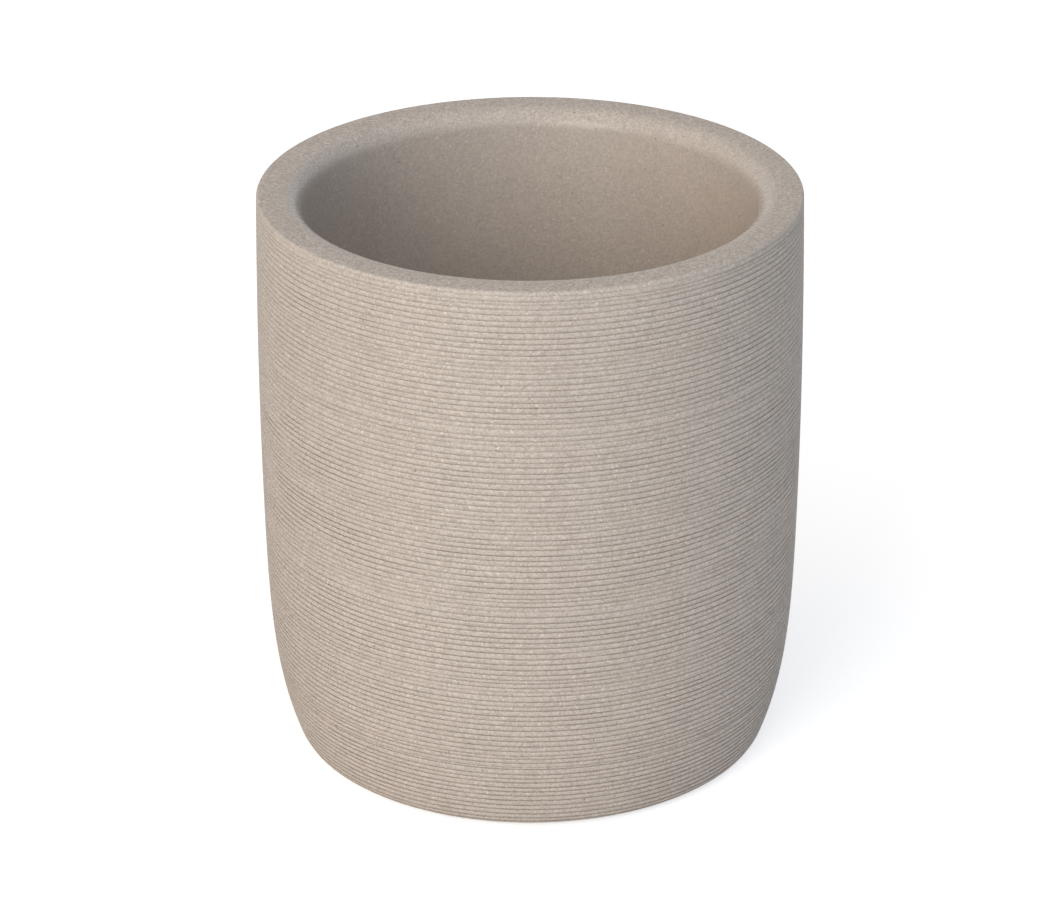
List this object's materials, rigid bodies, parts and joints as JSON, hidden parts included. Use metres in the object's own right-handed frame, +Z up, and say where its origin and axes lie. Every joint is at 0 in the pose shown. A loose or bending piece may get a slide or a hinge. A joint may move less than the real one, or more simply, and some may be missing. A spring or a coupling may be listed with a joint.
{
  "type": "bathroom tumbler",
  "caption": "Straight-sided bathroom tumbler cast in sand-filled resin, with fine grooves round its wall, a rounded rim and a foam pad underneath.",
  "frame": {"origin": "centre of the foam pad's underside, on the surface that the tumbler stands on", "axes": "+Z up the tumbler's axis, out of its mouth; +X and +Y are any two directions square to it, because the tumbler is round"},
  "size_m": [0.0842, 0.084, 0.091],
  "materials": {
    "sand_filled_resin": "matte, cast, with fine dark and light grains",
    "adhesive_film": "satin",
    "eva_foam": "matte, closed-cell foam"
  },
  "bodies": {
    "root": {"cup_body": "sand_filled_resin", "pad_adhesive": "adhesive_film", "foot_pad": "eva_foam"}
  },
  "joints": []
}
